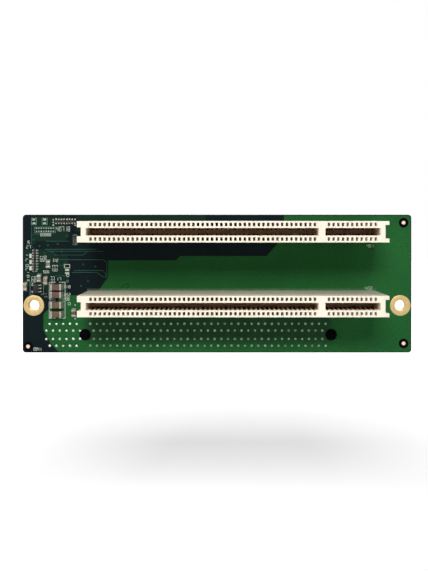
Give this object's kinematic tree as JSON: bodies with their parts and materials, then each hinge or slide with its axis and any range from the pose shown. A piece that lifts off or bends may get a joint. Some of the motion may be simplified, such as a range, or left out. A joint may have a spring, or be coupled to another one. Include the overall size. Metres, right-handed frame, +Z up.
{
  "type": "pcie riser card",
  "caption": "Riser card: a drilled green board with cream keyed PCI slots on its front face and a black PCI Express slot on its rear face",
  "frame": {"origin": "midway between the two mounting holes, on the board's front face", "axes": "+X along the board to the right as seen from the front, +Z up across the board, and -Y out of the front face, on which the PCI slots stand; the PCI Express slot stands out of the rear face along +Y"},
  "size_m": [0.1156, 0.0283, 0.041],
  "materials": {
    "solder_mask_green": "glossy green solder mask over glass laminate",
    "gold_plating": "gold-plated copper",
    "cream_plastic": "cream moulded plastic, fine satin",
    "black_plastic": "black moulded plastic",
    "contact_metal": "plated spring contacts",
    "solder": "bright solder",
    "tinned_metal": "tinned metal ends and legs",
    "chip_black": "black moulding compound",
    "laminate_green": "green laminate",
    "resistor_black": "black glaze over ceramic",
    "brown_ceramic": "brown capacitor ceramic",
    "tan_ceramic": "tan capacitor ceramic",
    "grey_ceramic": "grey capacitor ceramic"
  },
  "bodies": {
    "root": {"circuit_board": "solder_mask_green", "mounting_hole_plating": "gold_plating", "upper_pci_slot_housing": "cream_plastic", "lower_pci_slot_housing": "cream_plastic", "upper_pci_slot_contacts_high": "contact_metal", "upper_pci_slot_contacts_low": "contact_metal", "lower_pci_slot_contacts_high": "contact_metal", "lower_pci_slot_contacts_low": "contact_metal", "upper_pci_slot_pin_tips": "solder", "lower_pci_slot_pin_tips": "solder", "pcie_slot_housing": "black_plastic", "pcie_slot_contacts_high": "contact_metal", "pcie_slot_contacts_low": "contact_metal", "pcie_slot_pin_tips": "solder", "regulator_body": "chip_black", "regulator_legs": "tinned_metal", "bridge_chip_base": "laminate_green", "bridge_chip_cap": "chip_black", "top_resistor_packs_bodies": "resistor_black", "top_resistor_packs_ends": "tinned_metal", "side_resistor_packs_bodies": "resistor_black", "side_resistor_packs_ends": "tinned_metal", "edge_capacitor_ceramic": "tan_ceramic", "slot_capacitor_ceramic": "brown_ceramic", "grey_capacitor_ceramic": "grey_ceramic", "tan_capacitor_ceramic": "tan_ceramic", "high_capacitor_ceramic": "grey_ceramic", "large_capacitor_one_ceramic": "brown_ceramic", "large_capacitor_one_ends": "tinned_metal", "large_capacitor_two_ceramic": "brown_ceramic", "large_capacitor_two_ends": "tinned_metal", "large_capacitor_three_ceramic": "brown_ceramic", "large_capacitor_three_ends": "tinned_metal", "large_capacitor_four_ceramic": "brown_ceramic", "large_capacitor_four_ends": "tinned_metal", "edge_capacitor_ends": "tinned_metal", "slot_capacitor_ends": "tinned_metal", "grey_capacitor_ends": "tinned_metal", "tan_capacitor_ends": "tinned_metal", "high_capacitor_ends": "tinned_metal"}
  },
  "joints": []
}
